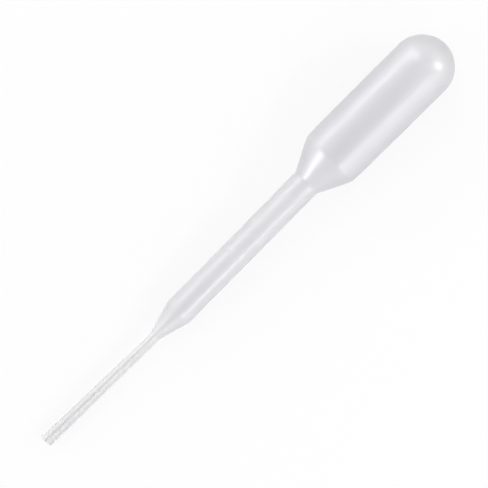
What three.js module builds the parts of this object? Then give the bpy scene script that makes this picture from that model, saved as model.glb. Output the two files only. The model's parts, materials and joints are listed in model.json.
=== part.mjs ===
// A transfer pipette: a squeeze bulb, a stem and a fine tip, blow-moulded as one thin-walled piece of
// low-density polyethylene and open only at the cut end of its tip. Lengths are in millimetres.
//
// It lies at rest on the plane z = 0, the tip towards -X and the bulb towards +X. It touches that plane at the
// lower edge of the cut end and at the ring where the shoulder meets the bulb, so its axis leans a little.
// The origin is the bottom centre of the box around it.

import * as THREE from "three";

// Driving dimensions, in order from the cut end of the tip. Diameters are of the outside.

const TIP_LENGTH = 17.8;
const TIP_END_DIAMETER = 1.6; // at the cut end, a little wider than where the tip leaves the neck
const TIP_ROOT_DIAMETER = 1.4;
const TIP_WALL = 0.35;

const NECK_LENGTH = 3.8; // the cone between the tip and the stem

const STEM_LENGTH = 21.0;
const STEM_DIAMETER = 3.5;
const STEM_WALL = 0.5;

const SHOULDER_LENGTH = 3.9; // the cone between the stem and the bulb

const BULB_LENGTH = 14.75; // the nearly straight part of the bulb, up to its round crown
const BULB_SHOULDER_DIAMETER = 7.4; // the mould has a slight draft, so the bulb widens towards its crown
const BULB_CROWN_DIAMETER = 7.5;
const BULB_WALL = 0.42;
const CROWN_WALL = 0.55; // at the pole of the crown, where the moulding was pinched shut

// Radii that round each change of slope along the wall.

const TIP_ROOT_FILLET = 0.8;
const STEM_FOOT_FILLET = 1.2;
const STEM_HEAD_FILLET = 0.3;
const SHOULDER_FILLET = 0.3;

// How finely the round shapes are divided.

const FACETS_AROUND = 36;
const FILLET_STEPS = 3;
const CROWN_STEPS = 9;

const LDPE = { color: 0xe4e4e8, roughness: 0.35, metalness: 0, transparent: true, opacity: 0.6 };

// Stations along the axis, measured from the cut end.

const NECK_START = TIP_LENGTH;
const STEM_START = NECK_START + NECK_LENGTH;
const SHOULDER_START = STEM_START + STEM_LENGTH;
const BULB_START = SHOULDER_START + SHOULDER_LENGTH;
const CROWN_START = BULB_START + BULB_LENGTH;

// What is taken off each stretch's outside to reach the side of the wall that is drawn.

const OUTSIDE = { tip: 0, stem: 0, bulb: 0, crown: 0 };
const INSIDE = { tip: TIP_WALL, stem: STEM_WALL, bulb: BULB_WALL, crown: CROWN_WALL };

// The points of an arc that rounds the corner between two straight lines and is tangent to both.
function filletPoints(before, corner, after, radius) {
  const back = before.clone().sub(corner).normalize();
  const ahead = after.clone().sub(corner).normalize();
  const halfAngle = back.angleTo(ahead) / 2;
  const toCentre = back.clone().add(ahead).normalize();
  const centre = corner.clone().addScaledVector(toCentre, radius / Math.sin(halfAngle));
  const start = corner.clone().addScaledVector(back, radius / Math.tan(halfAngle)).sub(centre);
  const turnsLeft = back.cross(ahead) < 0;
  const turn = (Math.PI - 2 * halfAngle) * (turnsLeft ? 1 : -1);
  return Array.from({ length: FILLET_STEPS + 1 }, (_, step) =>
    start.clone().rotateAround(new THREE.Vector2(), (turn * step) / FILLET_STEPS).add(centre),
  );
}

// One side of the wall from the cut end to the pole of the crown, as points (distance from the axis, distance
// along the axis). Straight lines run between the stations, a fillet rounds each corner, and the crown is a
// quarter of an ellipse, which is a quarter circle on the outside.
function wallSide(taken) {
  const at = (diameter, wall, station) => new THREE.Vector2(diameter / 2 - wall, station);
  const line = [
    at(TIP_END_DIAMETER, taken.tip, 0),
    at(TIP_ROOT_DIAMETER, taken.tip, NECK_START),
    at(STEM_DIAMETER, taken.stem, STEM_START),
    at(STEM_DIAMETER, taken.stem, SHOULDER_START),
    at(BULB_SHOULDER_DIAMETER, taken.bulb, BULB_START),
    at(BULB_CROWN_DIAMETER, taken.bulb, CROWN_START),
  ];
  const fillets = [TIP_ROOT_FILLET, STEM_FOOT_FILLET, STEM_HEAD_FILLET, SHOULDER_FILLET];
  const rounded = fillets.flatMap((radius, i) => filletPoints(line[i], line[i + 1], line[i + 2], radius));

  const crownRadius = line.at(-1).x;
  const crownHeight = BULB_CROWN_DIAMETER / 2 - taken.crown;
  const crown = Array.from({ length: CROWN_STEPS }, (_, step) => {
    const angle = (Math.PI / 2) * (step / CROWN_STEPS);
    return new THREE.Vector2(crownRadius * Math.cos(angle), CROWN_START + crownHeight * Math.sin(angle));
  });
  const pole = new THREE.Vector2(0, CROWN_START + crownHeight);
  return [line[0], ...rounded, ...crown, pole];
}

// The wall turned about the axis: down its inside from the crown to the cut end, then up its outside.
function pipetteGeometry(outside) {
  const inside = wallSide(INSIDE).reverse();
  const halfFacet = Math.PI / FACETS_AROUND; // puts the middle of a facet, not an edge, at the underside
  return new THREE.LatheGeometry([...inside, ...outside], FACETS_AROUND, halfFacet);
}

// The lean at which a straight edge laid along the underside touches the cut end and, further on, the ring
// that stands out most. The underside runs along the middle of a facet, nearer the axis than its edges are.
function restingLean(outside) {
  const facetShare = Math.cos(Math.PI / FACETS_AROUND);
  const [cutEnd, ...rest] = outside;
  return Math.max(...rest.map((p) => Math.atan2((p.x - cutEnd.x) * facetShare, p.y - cutEnd.y)));
}

function makePipette() {
  const outside = wallSide(OUTSIDE);
  const geometry = pipetteGeometry(outside);
  geometry.rotateZ(-Math.PI / 2); // the axis now runs along +X, from the cut end at the origin
  geometry.rotateY(-restingLean(outside)); // and rises towards the bulb, which is the thicker end

  geometry.computeBoundingBox();
  const box = geometry.boundingBox;
  const body = new THREE.Mesh(geometry, new THREE.MeshStandardMaterial(LDPE));
  body.name = "pipette_body";
  body.position.set(-(box.min.x + box.max.x) / 2, -(box.min.y + box.max.y) / 2, -box.min.z);
  return body;
}

const pipette = new THREE.Group();
pipette.name = "transfer_pipette";
pipette.add(makePipette());

export default pipette;
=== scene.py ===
"""A disposable dropper pipette of natural low-density polyethylene, blow-moulded in one piece.

The pipette lies on its side on a pale floor, with its tip towards -X and its bulb towards +X. Its own sizes
are given in millimetres, and everything in the scene is in metres.
"""

import json

import bpy
import numpy as np
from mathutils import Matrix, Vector


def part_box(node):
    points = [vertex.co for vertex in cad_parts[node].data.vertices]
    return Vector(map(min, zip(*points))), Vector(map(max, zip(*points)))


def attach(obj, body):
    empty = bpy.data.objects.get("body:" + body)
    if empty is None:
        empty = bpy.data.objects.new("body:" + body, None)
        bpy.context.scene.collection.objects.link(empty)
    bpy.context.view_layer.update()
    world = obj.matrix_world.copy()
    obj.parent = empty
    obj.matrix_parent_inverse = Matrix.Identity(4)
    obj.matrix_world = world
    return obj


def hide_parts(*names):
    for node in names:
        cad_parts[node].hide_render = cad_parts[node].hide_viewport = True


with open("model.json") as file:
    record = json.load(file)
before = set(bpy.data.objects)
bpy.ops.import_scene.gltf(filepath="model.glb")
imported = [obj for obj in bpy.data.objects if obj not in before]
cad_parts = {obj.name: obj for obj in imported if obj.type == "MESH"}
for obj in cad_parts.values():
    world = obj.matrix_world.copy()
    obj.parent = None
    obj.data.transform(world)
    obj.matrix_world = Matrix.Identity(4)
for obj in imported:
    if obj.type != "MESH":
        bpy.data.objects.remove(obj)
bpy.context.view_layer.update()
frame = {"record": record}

MM = 0.001

# Sizes of the moulding in millimetres, from the cut end of the tip to the crown of the bulb.

TIP_LENGTH = 17.8
TIP_END_RADIUS = 0.8
TIP_ROOT_RADIUS = 0.7
TIP_WALL = 0.35
NECK_LENGTH = 3.8
STEM_LENGTH = 21.0
STEM_RADIUS = 1.75
STEM_WALL = 0.5
SHOULDER_LENGTH = 3.9
BULB_LENGTH = 14.75
BULB_SHOULDER_RADIUS = 3.7
BULB_CROWN_RADIUS = 3.75
BULB_WALL = 0.42
CROWN_WALL = 0.55
CORNER_RADII = (0.8, 1.2, 0.3, 0.3)  # tip to neck, neck to stem, stem to shoulder, shoulder to bulb
LIP_BEVEL = 0.05  # the knife leaves the cut end's edges a little blunt

NECK_START = TIP_LENGTH
STEM_START = NECK_START + NECK_LENGTH
SHOULDER_START = STEM_START + STEM_LENGTH
BULB_START = SHOULDER_START + SHOULDER_LENGTH
CROWN_START = BULB_START + BULB_LENGTH

# How finely the skin is divided, in millimetres between rings and in points around or along an arc.

OUTER_STEP = 0.2
INNER_STEP = 0.3
LIP_STEPS = 5
CORNER_STEPS = 10
CROWN_STEPS = 60
COLUMNS_AROUND = 120
SIDE_CROWDING = 0.4  # 0 spaces the points evenly around, and more crowds them towards the parting lines

# Stations along the axis. Each row of four values below belongs to them, with straight lines in between.

STATIONS = (0, STEM_START, BULB_START, CROWN_START)

# The ridge at each side, where the halves of the mould met.

RIDGE_HEIGHTS = (0.012, 0.022, 0.03, 0.03)
RIDGE_WIDTH = 0.09
RIDGE_GONE_RADIUS = 0.9  # the ridge also grows with the wall's radius, from nothing at this one
RIDGE_FULL_RADIUS = 3.9  # to its whole height at this one
RIDGE_LEAST_SHARE = 0.3  # and a narrow stretch still has this share of it
RIDGE_SIDES = 0.3  # it is left out where the sine of the angle from the top is less than this

# The bar across the crown, where the tube was pinched shut.

PINCH_START = CROWN_START + 1.5
PINCH_HEIGHT = 0.05
PINCH_WIDTH = 0.3
PINCH_HALF_LENGTH = 1.6
PINCH_FADE = 0.15

# A faint slanting fold over the top of the stem.

FOLD_PLACE = 31.4
FOLD_SLANT = 0.46
FOLD_HEIGHT = 0.08
FOLD_WIDTH = 0.16

# The ring where the shoulder meets the bulb is eased by this depth, which dies away on both sides.

EASED_DEPTH = 0.08
EASED_OVER_SHOULDER = 0.3
EASED_OVER_BULB = 0.8

# Slow waves of the soft wall: their height at the stations, and the radius below which they die away. Each
# wave is its share of that height, its radians per millimetre along the axis and the angle it starts from,
# and how many times it rises and falls around the axis and the angle it starts from there.

OUTER_SLACK = (0.0012, 0.0036, 0.0096, 0.0072)
OUTER_SLACK_RADIUS = 1.5
OUTER_WAVES = ((1.0, 0.55, 0.4, 2, 0.8), (0.7, 1.15, 2.0, 3, -0.5), (0.4, 2.3, 1.1, 5, 2.2))
INNER_SLACK = (0.004, 0.012, 0.022, 0.02)
INNER_SLACK_RADIUS = 0.4
INNER_WAVES = ((1.0, 0.42, 2.1, 1, 0.3), (0.6, 0.9, 0.0, 3, 1.4))

# The bow of the limp stem and tip: how far the axis is shifted towards -Y at each place along it.

BOW_PLACES = (0, 6, 13, 18, 22, 30, 40, 45, 48, 66)
BOW_SHIFTS = (0, 0.10, 0.215, 0.27, 0.25, 0.165, 0.06, 0.015, 0, 0)
BOW_SMOOTHING = 4
BOW_STEP = 0.25
BOW_MARGIN = 6  # how far the smoothed line runs on past both ends


def bell(distance, width):
    """1 at distance 0, falling away on both sides as e to the minus (distance over width) squared."""
    return np.exp(-((distance / width) ** 2))


def linear(code):
    """A colour as Blender wants it, from an sRGB hex code: each channel through the sRGB curve."""
    srgb = np.array([int(code[i : i + 2], 16) for i in (1, 3, 5)]) / 255
    value = np.where(srgb <= 0.04045, srgb / 12.92, ((srgb + 0.055) / 1.055) ** 2.4)
    return (*value.tolist(), 1.0)


# ---------------------------------------------------------------------------------------------------------
# The moulded wall


def corner_arc(before, corner, after, radius):
    """Points on the arc of that radius that is tangent to both lines which meet at corner.

    The arc's centre lies on the line that halves the corner, at radius over the sine of half the angle, and
    the arc starts and ends at radius over the tangent of half the angle from the corner. Seen from the
    centre, the point where a part p of the arc's angle is done and a part q is left is (start times sin q +
    end times sin p) over the sine of the whole angle.
    """
    back, ahead = before - corner, after - corner
    back, ahead = back / np.hypot(*back), ahead / np.hypot(*ahead)
    half = np.arccos(np.dot(back, ahead)) / 2
    middle = (back + ahead) / np.hypot(*(back + ahead))
    centre = corner + middle * radius / np.sin(half)
    start = corner + back * radius / np.tan(half) - centre
    end = corner + ahead * radius / np.tan(half) - centre
    share = np.linspace(0, 1, CORNER_STEPS)[:, None]
    angle = np.pi - 2 * half
    return centre + (np.sin((1 - share) * angle) * start + np.sin(share * angle) * end) / np.sin(angle)


def wall_line(tip, stem, bulb, crown):
    """One side of the wall as points (along the axis, out from it), with that much taken off the outside.

    Straight lines join the corners, an arc rounds each corner, and the crown is a quarter of an ellipse:
    along = start + height times sin a, out = radius times cos a, for a from 0 to a quarter turn.
    """
    corners = np.array(
        [
            (0, TIP_END_RADIUS - tip),
            (NECK_START, TIP_ROOT_RADIUS - tip),
            (STEM_START, STEM_RADIUS - stem),
            (SHOULDER_START, STEM_RADIUS - stem),
            (BULB_START, BULB_SHOULDER_RADIUS - bulb),
            (CROWN_START, BULB_CROWN_RADIUS - bulb),
        ]
    )
    arcs = [corner_arc(*corners[i : i + 3], radius) for i, radius in enumerate(CORNER_RADII)]
    a = np.linspace(0, np.pi / 2, CROWN_STEPS)[:, None]
    height = BULB_CROWN_RADIUS - crown
    quarter = np.hstack([CROWN_START + height * np.sin(a), corners[-1, 1] * np.cos(a)])
    return np.vstack([corners[:1], *arcs, quarter])


def evenly(line, step):
    """The line's points again, at equal distances of about step along it, by linear interpolation."""
    travelled = np.concatenate([[0], np.cumsum(np.hypot(*np.diff(line, axis=0).T))])
    at = np.linspace(0, travelled[-1], int(np.ceil(travelled[-1] / step)) + 1)
    return np.stack([np.interp(at, travelled, line[:, k]) for k in (0, 1)], axis=1)


def blunt_lip(edge_radius, inwards):
    """Points of the blunted edge of the cut end: a quarter circle of the bevel's size.

    It starts on the flat ring of the cut, a bevel's width inside the wall, and ends on the wall's side:
    along = bevel times (1 - cos a), and out is bevel times (1 - sin a) short of the edge. inwards is 1 at
    the outside of the wall and -1 at the side of the bore.
    """
    a = np.linspace(0, np.pi / 2, LIP_STEPS)
    along = LIP_BEVEL * (1 - np.cos(a))
    out = edge_radius - inwards * LIP_BEVEL * (1 - np.sin(a))
    return np.stack([along, out], axis=1)


def around_angles(count):
    """Angles around the axis from its top, crowded towards both sides, where the parting lines run.

    angle = u + c times sin 2u for equal steps of u. With c = 0.4 the steps at the sides are a ninth of the
    steps on top.
    """
    u = np.linspace(0, 2 * np.pi, count, endpoint=False)
    return u + SIDE_CROWDING * np.sin(2 * u)


def parting_ridge(along, out, angle):
    """A ridge at each side: a bell of the distance from the parting plane, which is out times cos angle.

    Its height is the stations' one times a share that grows in a straight line with the radius.
    """
    at_sides = np.abs(np.sin(angle)) > RIDGE_SIDES
    share = (out - RIDGE_GONE_RADIUS) / (RIDGE_FULL_RADIUS - RIDGE_GONE_RADIUS)
    height = np.interp(along, STATIONS, RIDGE_HEIGHTS) * np.clip(share, RIDGE_LEAST_SHARE, 1)
    return np.where(at_sides, bell(out * np.cos(angle), RIDGE_WIDTH), 0) * height


def pinch_bar(along, out, angle):
    """A bar across the crown: a bell of the distance from the parting plane, which fades out at both ends.

    Towards each end it is divided by 1 + e to the (distance past the end over the fade).
    """
    past_end = np.abs(out * np.sin(angle)) - PINCH_HALF_LENGTH
    bar = PINCH_HEIGHT * bell(out * np.cos(angle), PINCH_WIDTH) / (1 + np.exp(past_end / PINCH_FADE))
    return np.where(along > PINCH_START, bar, 0)


def stem_fold(along, out, angle):
    """A fold over the stem: a bell of the distance from its place, which slants with out times sin angle.

    It fades towards the sides with the square root of cos angle, and there is none below them.
    """
    place = FOLD_PLACE - FOLD_SLANT * out * np.sin(angle)
    return FOLD_HEIGHT * bell(along - place, FOLD_WIDTH) * np.clip(np.cos(angle), 0, 1) ** 0.5


def eased_ring(along):
    """The eased ring at the bulb's start: minus the depth times e to the minus (distance over reach)."""
    past = along - BULB_START
    over_bulb = np.exp(-past / EASED_OVER_BULB)
    over_shoulder = np.exp(past / EASED_OVER_SHOULDER)
    return -EASED_DEPTH * np.where(past > 0, over_bulb, over_shoulder)


def slow_waves(along, out, angle, slack, slack_radius, waves):
    """The wall's slackness times the sum of the waves, each a sine along the axis times one around it."""
    height = np.interp(along, STATIONS, slack) * np.clip(out / slack_radius, 0, 1)
    return height * sum(
        share * np.sin(rate * along + start) * np.sin(count * angle + turn)
        for share, rate, start, count, turn in waves
    )


def outside_marks(along, out, angle):
    """How far the outside stands proud of the plain round form, in millimetres, at rings and angles."""
    return (
        parting_ridge(along, out, angle)
        + pinch_bar(along, out, angle)
        + stem_fold(along, out, angle)
        + eased_ring(along)
        + slow_waves(along, out, angle, OUTER_SLACK, OUTER_SLACK_RADIUS, OUTER_WAVES)
    )


def inside_marks(along, out, angle):
    """The same for the inside, which only has the slow waves of the unevenly stretched tube."""
    return slow_waves(along, out, angle, INNER_SLACK, INNER_SLACK_RADIUS, INNER_WAVES)


def centre_line(along):
    """Sideways shift of the axis: straight lines between the bow's places, smoothed by a running mean."""
    places = np.arange(BOW_PLACES[0] - BOW_MARGIN, BOW_PLACES[-1] + BOW_MARGIN, BOW_STEP)
    window = int(BOW_SMOOTHING / BOW_STEP) + 1
    smooth = np.convolve(np.interp(places, BOW_PLACES, BOW_SHIFTS), np.ones(window) / window, "same")
    return -np.interp(along, places, smooth)


def ring_grid(line, marks, angle):
    """The line turned about the axis, as a grid of rings, each point moved by the marks square to the wall.

    Square to the wall is the line's own direction turned by a quarter. A ring's point is (along, shift + out
    times sin angle, out times cos angle).
    """
    along, out = line[:, :1], line[:, 1:]
    proud = marks(along, out, angle)
    step = np.gradient(line, axis=0)
    outwards = np.stack([-step[:, 1], step[:, 0]], axis=1) / np.hypot(*step.T)[:, None]
    moved_along = along + proud * outwards[:, :1]
    moved_out = out + proud * outwards[:, 1:]
    shift = centre_line(along)
    return np.stack([moved_along, shift + moved_out * np.sin(angle), moved_out * np.cos(angle)], axis=-1)


def pipette_wall(angle):
    """The whole moulding as one grid of rings and its two poles, in millimetres from the cut end.

    The rings go down the inside from the crown to the cut end, over the blunt lip, and up the outside. The
    poles are the middle of the crown, inside and outside.
    """
    outer = evenly(wall_line(0, 0, 0, 0), OUTER_STEP)
    inner = evenly(wall_line(TIP_WALL, STEM_WALL, BULB_WALL, CROWN_WALL), INNER_STEP)
    outer_lip = blunt_lip(TIP_END_RADIUS, 1)
    inner_lip = blunt_lip(TIP_END_RADIUS - TIP_WALL, -1)
    outer_rings = ring_grid(np.vstack([outer_lip, outer[1:-1]]), outside_marks, angle)
    inner_rings = ring_grid(np.vstack([inner_lip, inner[1:-1]]), inside_marks, angle)
    crown_mark = outside_marks(outer[-1:, :1], outer[-1:, 1:], np.zeros((1, 1)))[0, 0]
    poles = np.array([(inner[-1, 0], 0, 0), (outer[-1, 0] + crown_mark, 0, 0)])
    return np.concatenate([inner_rings[::-1], outer_rings]), poles


def laid_down(points):
    """Points of the moulding's own axes put where the CAD model lies.

    Its axis follows the cut end's mount, turned the other way. The whole is then moved so that its box has
    the CAD box's middle and stands on the same level.
    """
    cut_end = next(m for m in frame["record"]["mounts"] if m["name"] == "tip_end")
    axis = -np.array(cut_end["axis"])
    side = np.array([0, 1, 0])
    up = np.cross(axis, side)
    placed = points @ np.stack([axis, side, up]) * MM
    low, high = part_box("pipette_body")
    middle = (placed[:, 0].min() + placed[:, 0].max()) / 2
    return placed + [(low.x + high.x) / 2 - middle, 0, low.z - placed[:, 2].min()]


def closed_skin(name, grid_shape, points):
    """A mesh object of rings of points, each joined to the next and to itself, with a fan at each pole.

    The points are the rings' own, in order, and then the first and the last pole.
    """
    rings, columns = grid_shape
    index = np.arange(rings * columns).reshape(rings, columns)
    ahead = np.roll(index, -1, axis=1)
    quads = np.stack([index[:-1], index[1:], ahead[1:], ahead[:-1]], axis=-1).reshape(-1, 4)
    first = np.stack([np.full(columns, rings * columns), index[0], ahead[0]], axis=-1)
    last = np.stack([np.full(columns, rings * columns + 1), ahead[-1], index[-1]], axis=-1)
    mesh = bpy.data.meshes.new(name)
    mesh.from_pydata(points, [], [*quads.tolist(), *first.tolist(), *last.tolist()])
    mesh.polygons.foreach_set("use_smooth", np.ones(len(mesh.polygons), bool))
    mesh.update()
    piece = bpy.data.objects.new(name, mesh)
    bpy.context.scene.collection.objects.link(piece)
    return piece


# ---------------------------------------------------------------------------------------------------------
# Materials

# What each crossing of the surface lets through. The thick, drawn-out tip and stem are a little greyer.

BULB_TONE = "#FCFCFD"
STEM_TONE = "#FBFBFC"
TIP_TONE = "#FBFBFB"
TIP_TONE_END = NECK_START - 1  # the stem's tone comes in from here

# Painted shade and painted highlights along the tip, standing in for the dark lines and bright bands that
# refraction in its thick wall would give: the place across it, from -1 at its -Y side to 1 at its +Y side,
# half the width in the same measure, and how much darker the wall is painted there. The two darker ones, in
# the middle and at the -Y edge, are painted shade; the two with a negative value are painted highlights.

TIP_PAINTED_SHADE_AND_HIGHLIGHTS = ((0.08, 0.15, 0.13), (-0.88, 0.13, 0.2), (-0.35, 0.15, -0.08), (0.6, 0.25, -0.06))

PLASTIC_IOR = 1.51
CLOUD_COLOUR = "#B9B4B6"  # of each channel, e to the minus (1 - colour) x density x metres comes through
CLOUD_DENSITY = 95.0

# Roughness of the skin. The tip was drawn out cold, and is duller. The one changes to the other over the
# neck, between two places on the object's own X.

SATIN = 0.28
TIP_SATIN = 0.38
TIP_SATIN_END = -16 * MM
STEM_SATIN_START = -10 * MM

# Streaks in the skin from stretching the warm tube. They are drawn wider than the real ones, which would not
# show.

STREAK_LENGTH = 11.1 * MM
STREAK_WIDTH = 0.238 * MM
STREAK_DETAIL = 3.0
STREAK_RANGE = (0.3, 0.7)  # nearly all of the noise lies between these
STREAK_SATIN = (-0.004, 0.016)  # what the streaks add to the roughness at both ends of that range
STREAK_HEIGHT = 0.02 * MM
STREAK_STRENGTH = 0.05

# Rays that go straight on through the plastic.

SHADE_TONE = "#F7F7F9"  # what each crossing of the surface lets through of them
DEEP_BOUNCES = 4.5  # a ray that has met more surfaces than this is one of them


def plastic_tone(along, angle):
    """The share of each colour that the surface lets through at each crossing, by place along and around.

    It goes in straight lines from the tip's tone to the stem's over the neck, and to the bulb's over the
    shoulder. The tip's tone is multiplied by one minus the sum of the painted lines, each a bell of the
    place across the tip, which is the sine of the angle: painted shade where refraction would darken the
    tip, and painted highlights where it would brighten it.
    """
    across = np.sin(angle)
    # painted shade and painted highlights of the tip's refraction, as lines along it
    lengthwise_lines = 1 - sum(depth * bell(across - place, width) for place, width, depth in TIP_PAINTED_SHADE_AND_HIGHLIGHTS)
    tip = np.array(linear(TIP_TONE)) * lengthwise_lines[..., None]
    stem = np.array(linear(STEM_TONE))
    bulb = np.array(linear(BULB_TONE))
    over_neck = np.clip((along - TIP_TONE_END) / (STEM_START - TIP_TONE_END), 0, 1)[..., None]
    over_shoulder = np.clip((along - SHOULDER_START) / SHOULDER_LENGTH, 0, 1)[..., None]
    tone = tip + (stem - tip) * over_neck
    return np.clip(tone + (bulb - tone) * over_shoulder, 0, 1)


def add(tree, kind, inputs=None, **settings):
    """Adds a node to the tree. An input is given a plain value, or the socket that it is linked to."""
    node = tree.nodes.new(kind)
    for key, value in settings.items():
        setattr(node, key, value)
    for key, value in (inputs or {}).items():
        if isinstance(value, bpy.types.NodeSocket):
            tree.links.new(value, node.inputs[key])
        else:
            node.inputs[key].default_value = value
    return node


def new_material(name):
    """A material of that name and its node tree, which is still empty."""
    material = bpy.data.materials.new(name)
    material.use_nodes = True
    material.node_tree.nodes.clear()
    return material, material.node_tree


def natural_polyethylene():
    """Blow-moulded natural low-density polyethylene: clear but clouded, with a soft satin skin.

    The refracting surface with its satin gives the eye the blurred highlights and the dark outline of a
    thin wall. Absorption within the wall gives the cool grey of the milky plastic, which is deeper where
    the sight line runs along the wall. Long streaks from stretching the warm tube make the satin a little
    uneven. Rays to the lamps, rays from dull surfaces and rays that have bounced often go straight through
    with a pale tone, so that the pipette casts the light shadow of a translucent thing.
    """
    material, tree = new_material("blow_moulded_natural_ldpe")
    place = add(tree, "ShaderNodeTexCoord")
    stretched = add(
        tree,
        "ShaderNodeMapping",
        {
            "Vector": place.outputs["Object"],
            "Scale": (1 / STREAK_LENGTH, 1 / STREAK_WIDTH, 1 / STREAK_WIDTH),
        },
    )
    lengthwise_lines = add(
        tree,
        "ShaderNodeTexNoise",
        {"Vector": stretched.outputs["Vector"], "Scale": 1.0, "Detail": STREAK_DETAIL},
    )
    unevenness = add(
        tree,
        "ShaderNodeMapRange",
        {
            "Value": lengthwise_lines.outputs[0],
            "From Min": STREAK_RANGE[0],
            "From Max": STREAK_RANGE[1],
            "To Min": STREAK_SATIN[0],
            "To Max": STREAK_SATIN[1],
        },
    )
    along = add(tree, "ShaderNodeSeparateXYZ", {0: place.outputs["Object"]})
    satin = add(
        tree,
        "ShaderNodeMapRange",
        {
            "Value": along.outputs["X"],
            "From Min": TIP_SATIN_END,
            "From Max": STEM_SATIN_START,
            "To Min": TIP_SATIN,
            "To Max": SATIN,
        },
    )
    rough = add(tree, "ShaderNodeMath", {0: satin.outputs[0], 1: unevenness.outputs[0]}, operation="ADD")
    bump = add(
        tree,
        "ShaderNodeBump",
        {"Height": lengthwise_lines.outputs[0], "Strength": STREAK_STRENGTH, "Distance": STREAK_HEIGHT},
    )
    # the tone holds the tip's painted shade and painted highlights besides the plastic's own tint
    tone = add(tree, "ShaderNodeAttribute", attribute_name="tone")
    plastic = add(
        tree,
        "ShaderNodeBsdfPrincipled",
        {
            "Base Color": tone.outputs["Color"],
            "Roughness": rough.outputs[0],
            "IOR": PLASTIC_IOR,
            "Transmission Weight": 1.0,
            "Normal": bump.outputs[0],
        },
    )
    path = add(tree, "ShaderNodeLightPath")
    deep = add(
        tree,
        "ShaderNodeMath",
        {0: path.outputs["Ray Depth"], 1: DEEP_BOUNCES},
        operation="GREATER_THAN",
    )
    to_lamp = add(
        tree,
        "ShaderNodeMath",
        {0: path.outputs["Is Shadow Ray"], 1: path.outputs["Is Diffuse Ray"]},
        operation="MAXIMUM",
    )
    straight_on = add(
        tree,
        "ShaderNodeMath",
        {0: to_lamp.outputs[0], 1: deep.outputs[0]},
        operation="MAXIMUM",
    )
    passed = add(tree, "ShaderNodeBsdfTransparent", {"Color": linear(SHADE_TONE)})
    surface = add(
        tree,
        "ShaderNodeMixShader",
        {0: straight_on.outputs[0], 1: plastic.outputs[0], 2: passed.outputs[0]},
    )
    cloud = add(
        tree,
        "ShaderNodeVolumeAbsorption",
        {"Color": linear(CLOUD_COLOUR), "Density": CLOUD_DENSITY},
    )
    add(tree, "ShaderNodeOutputMaterial", {"Surface": surface.outputs[0], "Volume": cloud.outputs[0]})
    return material


# ---------------------------------------------------------------------------------------------------------
# The pipette

angle = around_angles(COLUMNS_AROUND)[None, :]
grid, poles = pipette_wall(angle)
own_points = np.vstack([grid.reshape(-1, 3), poles])
pipette = closed_skin("pipette_moulding", grid.shape[:2], laid_down(own_points))

own_angle = np.append(np.broadcast_to(angle, grid.shape[:2]), (0, 0))
# the tone carries the tip's painted shade and painted highlights besides the plastic's own tint
tone = pipette.data.color_attributes.new("tone", "FLOAT_COLOR", "POINT")
tone.data.foreach_set("color", plastic_tone(own_points[:, 0], own_angle).ravel())

pipette.data.materials.append(natural_polyethylene())
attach(pipette, "root")
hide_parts("pipette_body")

# ---------------------------------------------------------------------------------------------------------
# Floor, light and camera

WHITE = "#FFFFFF"

FLOOR_HALF_SIZE = 2.0
FLOOR_LEVEL = -0.02 * MM  # a hair below the pipette, so that the two do not share a plane
FLOOR_GLOW_SEEN = 0.66  # what the board adds where the camera sees it, of which 1 is white
FLOOR_GLOW_THROUGH = 0.24  # the same for what is seen through the plastic and mirrored in it
FLOOR_COLOUR = 0.96  # the board's own colour where it does not glow
FLOOR_DIMMING = 0.92  # what is taken off that colour for each unit of glow, which makes the shadow fainter

# Each lamp: degrees around from +X, degrees up from the floor, width and height in metres, power in watts.

LAMP_DISTANCE = 0.5
LAMPS = {
    "upper_window": (89, 28, 0.28, 0.07, 0.31),
    "upper_end_window": (149, 28.5, 0.2, 0.08, 0.36),
    "upper_low_strip": (90, 7, 0.8, 0.12, 0.4),
    "lower_window": (270, 40, 0.3, 0.06, 0.17),
    "lower_low_strip": (270, 9, 0.8, 0.12, 0.36),
    "shoulder_spot": (253, 35, 0.06, 0.06, 0.2),
    "dome_spot": (64, 46, 0.06, 0.06, 0.12),
    "crown_spot": (320, 34, 0.07, 0.07, 0.5),
    "bulb_end_window": (0, 25, 0.4, 0.2, 0.1),
}

# The room's brightness near the horizon and overhead, and the heights between which it changes, where 0 is
# level and 1 is straight up.

ROOM_LOW = 0.82
ROOM_OVERHEAD = 0.47
ROOM_CHANGE_FROM = 0.35
ROOM_CHANGE_TO = 0.55

# The camera: its lens and sensor in millimetres, and in metres how wide a stretch the frame takes in at the
# middle of the pipette, how high that middle is, and how near the camera can see.

CAMERA_LENS = 150
CAMERA_SENSOR = 36
CAMERA_TURN = -44.8  # degrees about its own sight line, so that the bulb is at the upper right
FRAME_WIDTH = 0.056
PIPETTE_MIDDLE_HEIGHT = 0.004
CAMERA_NEAR = 0.01


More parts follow.
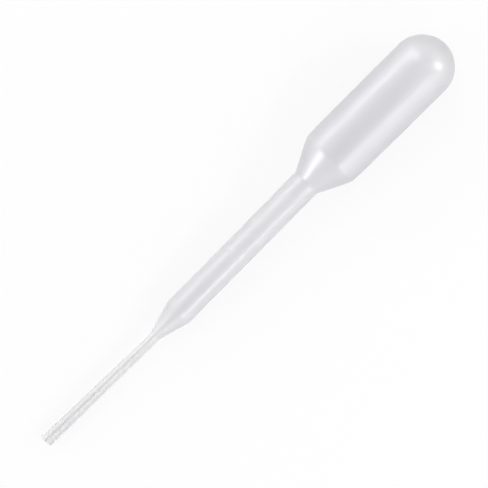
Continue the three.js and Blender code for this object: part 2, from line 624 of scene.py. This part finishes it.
def pale_floor():
    """A matt white board that glows where it is looked at, so that it reads white and keeps a soft shadow.

    The glow is one strength for the camera's rays, a smaller one for glossy and transmission rays, and none
    for the rest, so it puts no light on dull things. Where the board glows its own colour is dimmed, to
    FLOOR_COLOUR minus FLOOR_DIMMING times the glow.
    """
    size = FLOOR_HALF_SIZE
    corners = [(-size, -size, 0), (size, -size, 0), (size, size, 0), (-size, size, 0)]
    mesh = bpy.data.meshes.new("floor")
    mesh.from_pydata(corners, [], [(0, 1, 2, 3)])
    floor = bpy.data.objects.new("floor", mesh)
    bpy.context.scene.collection.objects.link(floor)
    floor.location.z = FLOOR_LEVEL
    material, tree = new_material("matt_white_board")
    path = add(tree, "ShaderNodeLightPath")
    seen = add(
        tree,
        "ShaderNodeMath",
        {0: path.outputs["Is Camera Ray"], 1: FLOOR_GLOW_SEEN},
        operation="MULTIPLY",
    )
    by_plastic = add(
        tree,
        "ShaderNodeMath",
        {0: path.outputs["Is Glossy Ray"], 1: path.outputs["Is Transmission Ray"]},
        operation="MAXIMUM",
    )
    through = add(
        tree,
        "ShaderNodeMath",
        {0: by_plastic.outputs[0], 1: FLOOR_GLOW_THROUGH},
        operation="MULTIPLY",
    )
    glow = add(tree, "ShaderNodeMath", {0: seen.outputs[0], 1: through.outputs[0]}, operation="MAXIMUM")
    colour = add(
        tree,
        "ShaderNodeMath",
        {0: glow.outputs[0], 1: -FLOOR_DIMMING, 2: FLOOR_COLOUR},
        operation="MULTIPLY_ADD",
    )
    board = add(tree, "ShaderNodeBsdfDiffuse", {"Color": colour.outputs[0]})
    white = add(tree, "ShaderNodeEmission", {"Color": linear(WHITE), "Strength": glow.outputs[0]})
    both = add(tree, "ShaderNodeAddShader", {0: board.outputs[0], 1: white.outputs[0]})
    add(tree, "ShaderNodeOutputMaterial", {"Surface": both.outputs[0]})
    mesh.materials.append(material)


def soft_light(name, around, up, width, height, power):
    """A rectangular lamp in that direction from the pipette, facing it, with its width level."""
    lamp = bpy.data.lights.new(name, "AREA")
    lamp.shape = "RECTANGLE"
    lamp.size = width
    lamp.size_y = height
    lamp.energy = power
    holder = bpy.data.objects.new(name, lamp)
    around, up = np.radians(around), np.radians(up)
    towards = Vector((np.cos(up) * np.cos(around), np.cos(up) * np.sin(around), np.sin(up)))
    holder.location = towards * LAMP_DISTANCE
    holder.rotation_euler = towards.to_track_quat("Z", "Y").to_euler()
    bpy.context.scene.collection.objects.link(holder)


def white_room():
    """A plain white room, brighter towards the horizon than overhead, with a smooth change in between."""
    world = bpy.data.worlds.new("room")
    world.use_nodes = True
    tree = world.node_tree
    tree.nodes.clear()
    aim = add(tree, "ShaderNodeTexCoord")
    height = add(tree, "ShaderNodeSeparateXYZ", {0: aim.outputs["Generated"]})
    level = add(
        tree,
        "ShaderNodeMapRange",
        {
            "Value": height.outputs["Z"],
            "From Min": ROOM_CHANGE_FROM,
            "From Max": ROOM_CHANGE_TO,
            "To Min": ROOM_LOW,
            "To Max": ROOM_OVERHEAD,
        },
        interpolation_type="SMOOTHSTEP",
    )
    walls = add(tree, "ShaderNodeBackground", {"Color": linear(WHITE), "Strength": level.outputs[0]})
    add(tree, "ShaderNodeOutputWorld", {"Surface": walls.outputs[0]})
    bpy.context.scene.world = world


def camera_above():
    """A long lens looking straight down, far enough up for the frame's width to be seen at the pipette."""
    lens = bpy.data.cameras.new("camera")
    lens.lens = CAMERA_LENS
    lens.sensor_width = CAMERA_SENSOR
    lens.clip_start = CAMERA_NEAR
    camera = bpy.data.objects.new("camera", lens)
    bpy.context.scene.collection.objects.link(camera)
    camera.location.z = PIPETTE_MIDDLE_HEIGHT + FRAME_WIDTH * CAMERA_LENS / CAMERA_SENSOR
    camera.rotation_euler.z = np.radians(CAMERA_TURN)
    bpy.context.scene.camera = camera


pale_floor()
for name, lamp in LAMPS.items():
    soft_light(name, *lamp)
white_room()
camera_above()
bpy.context.scene.view_settings.view_transform = "Standard"
